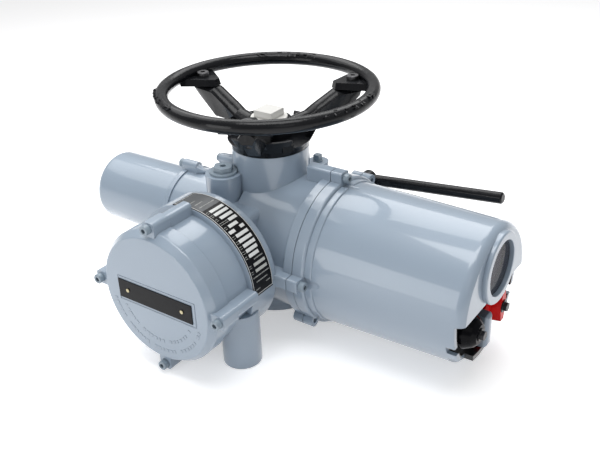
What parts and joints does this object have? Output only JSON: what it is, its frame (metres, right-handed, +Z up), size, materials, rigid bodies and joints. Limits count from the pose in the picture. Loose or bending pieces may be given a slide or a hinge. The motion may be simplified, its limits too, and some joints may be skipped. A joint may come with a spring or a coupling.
{
  "type": "electric valve actuator",
  "caption": "Electric multi-turn valve actuator with motor, worm drive, handwheel with hand lever, control cover with window and selectors, and terminal compartment.",
  "frame": {"origin": "centre of the valve flange's underside, on the output axis", "axes": "+Z up the output and handwheel axis, +X towards the control cover with the window and knobs, -Y towards the terminal compartment"},
  "size_m": [0.6605, 0.39, 0.3293],
  "materials": {
    "case_paint": "gloss",
    "black_paint": "satin",
    "bright_steel": "zinc plated",
    "dark_steel": "blackened",
    "bronze": "machined",
    "seal_rubber": "matt",
    "white_plastic": "smooth",
    "bare_aluminium": "machined",
    "core_steel": "stacked sheets",
    "copper": "varnished",
    "window_glass": "clear",
    "display_grey": "smooth",
    "board_green": "smooth",
    "black_plastic": "satin",
    "red_plastic": "satin",
    "block_plastic": "moulded",
    "stud_brass": "machined",
    "black_plate": "anodised"
  },
  "bodies": {
    "actuator": {"gear_case": "case_paint", "thrust_base": "case_paint", "base_screws": "dark_steel", "sleeve_bearings": "bright_steel", "worm_bearings": "bright_steel", "fork_guide_pin": "bright_steel", "column_bearing": "bright_steel", "column_seal": "seal_rubber", "motor_cover": "case_paint", "motor_screws": "bright_steel", "motor_end_shield": "bare_aluminium", "rotor_bearings": "bright_steel", "stator_core": "core_steel", "stator_windings": "copper", "control_cover": "case_paint", "control_screws": "bright_steel", "jack_screws": "dark_steel", "control_gasket": "seal_rubber", "window_ring": "case_paint", "window_glass": "window_glass", "display_panel": "display_grey", "display_board": "board_green", "display_pillars": "bright_steel", "terminal_cover": "case_paint", "terminal_screws": "bright_steel", "terminal_gasket": "seal_rubber", "terminal_block": "block_plastic", "terminal_studs": "stud_brass", "rating_plate": "black_plate", "name_bar": "black_plate", "bar_rivets": "stud_brass", "filler_washer": "bright_steel", "filler_plug": "bright_steel", "square_plug": "bright_steel", "side_plug": "bright_steel"},
    "output": {"output_sleeve": "dark_steel", "wheel_key": "dark_steel", "drive_bush": "bronze", "worm_wheel": "bronze"},
    "worm_line": {"worm": "dark_steel", "worm_shaft_gear": "dark_steel"},
    "rotor": {"rotor_core": "core_steel", "motor_shaft": "dark_steel", "motor_pinion": "dark_steel"},
    "handwheel": {"handwheel_hub": "black_paint", "handwheel_rim": "black_paint", "rim_bolts": "dark_steel", "hub_cap": "white_plastic", "drive_tube": "dark_steel"},
    "clutch": {"clutch_ring": "dark_steel"},
    "fork": {"clutch_fork": "bronze"},
    "lever": {"lever_arm": "black_paint", "lever_shaft": "bright_steel", "lever_crank": "dark_steel"},
    "selector": {"selector_knob": "black_plastic", "selector_knob_shaft": "bright_steel", "selector_knob_bolt": "bright_steel"},
    "stop_selector": {"stop_knob": "red_plastic", "stop_knob_shaft": "bright_steel", "stop_knob_bolt": "bright_steel"}
  },
  "joints": [
    {"name": "output_turn", "type": "hinge", "parent": "actuator", "child": "output", "pos_m": [0, 0, 0.0245], "axis": [0, 0, 1], "continuous": true},
    {"name": "worm_turn", "type": "hinge", "parent": "actuator", "child": "worm_line", "pos_m": [0, 0.042, 0.105], "axis": [1, 0, 0], "continuous": true},
    {"name": "rotor_turn", "type": "hinge", "parent": "actuator", "child": "rotor", "pos_m": [0, 0, 0.105], "axis": [1, 0, 0], "continuous": true},
    {"name": "handwheel_turn", "type": "hinge", "parent": "actuator", "child": "handwheel", "pos_m": [0, 0, 0.32], "axis": [0, 0, 1], "continuous": true},
    {"name": "clutch_slide", "type": "slide", "parent": "output", "child": "clutch", "axis": [0, 0, 1], "range_m": [0, 0.012]},
    {"name": "fork_slide", "type": "slide", "parent": "actuator", "child": "fork", "axis": [0, 0, 1], "range_m": [0, 0.012]},
    {"name": "lever_press", "type": "hinge", "parent": "actuator", "child": "lever", "pos_m": [0.088, 0.115, 0.163], "axis": [0, 1, 0], "range_deg": [0, 30], "stiffness_Nm_per_rad": 4, "springref_deg": -20.05},
    {"name": "selector_turn", "type": "hinge", "parent": "actuator", "child": "selector", "pos_m": [0.3, -0.037, 0.073], "axis": [1, 0, 0], "range_deg": [-45, 45], "stiffness_Nm_per_rad": 0.3},
    {"name": "stop_selector_turn", "type": "hinge", "parent": "actuator", "child": "stop_selector", "pos_m": [0.3, 0.037, 0.073], "axis": [1, 0, 0], "range_deg": [-60, 60]}
  ],
  "couplings": [
    {"joint": "worm_turn", "follows": "output_turn", "ratio": 29},
    {"joint": "rotor_turn", "follows": "output_turn", "ratio": -58},
    {"joint": "clutch_slide", "follows": "lever_press", "m_per_rad": 0.022918},
    {"joint": "fork_slide", "follows": "lever_press", "m_per_rad": 0.022918}
  ]
}
